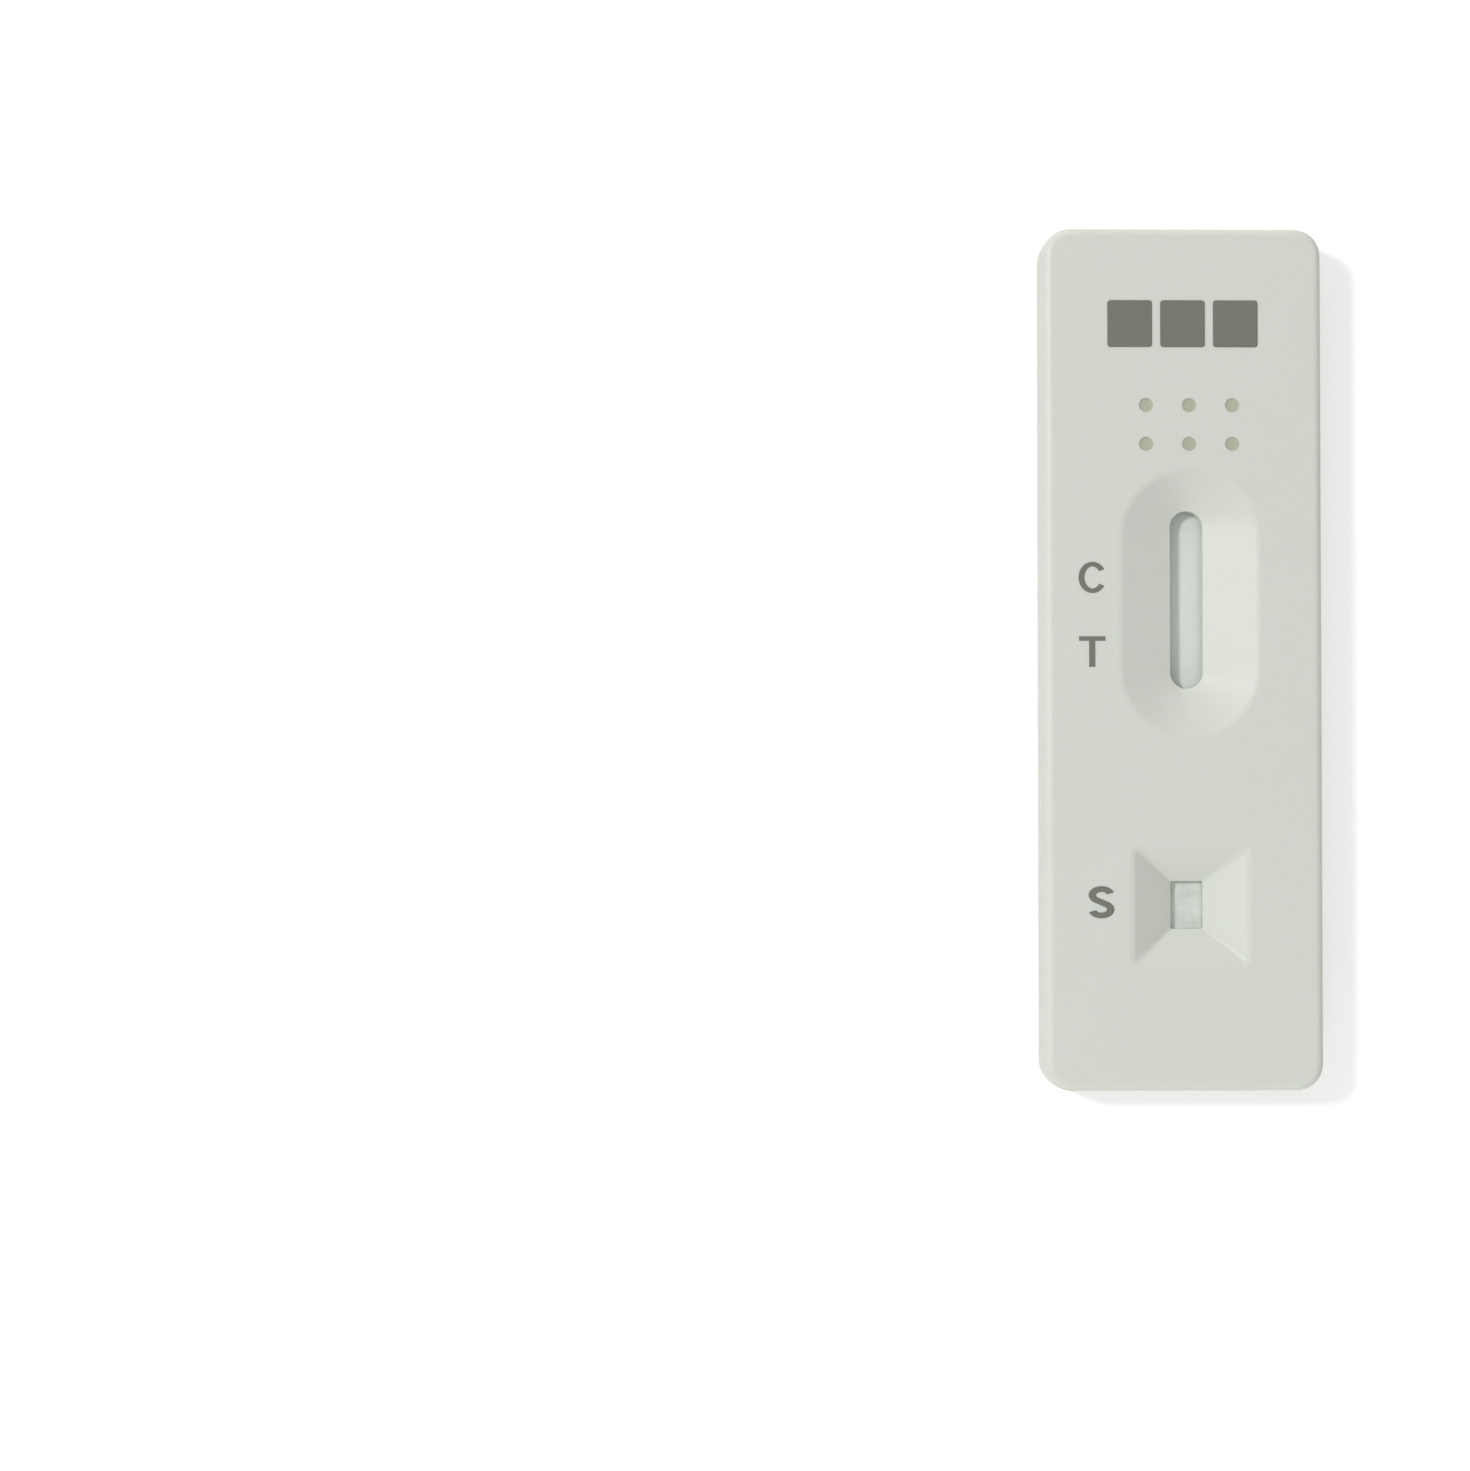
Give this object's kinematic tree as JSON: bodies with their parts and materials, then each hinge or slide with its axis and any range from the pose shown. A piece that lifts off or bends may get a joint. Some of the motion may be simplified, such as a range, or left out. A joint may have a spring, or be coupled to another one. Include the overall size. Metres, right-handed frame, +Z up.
{
  "type": "lateral flow cassette",
  "caption": "Slim rectangular plastic case in two shells round a test strip, with a dished result window, a square sample funnel and a block of six small dimples.",
  "frame": {"origin": "middle of the underside", "axes": "+X across the case, +Y along it from the sample well towards the head end, +Z up out of the face"},
  "size_m": [0.0226, 0.07, 0.005],
  "materials": {
    "shell": "satin moulded polystyrene",
    "card": "smooth plastic sheet",
    "membrane": "matt porous film",
    "conjugate": "matt glass fibre",
    "pad": "matt pressed cotton fibre"
  },
  "bodies": {
    "root": {"top_shell": "shell", "bottom_shell": "shell", "backing_card": "card", "nitrocellulose_membrane": "membrane", "conjugate_pad": "conjugate", "sample_pad": "pad", "absorbent_pad": "pad"}
  },
  "joints": []
}
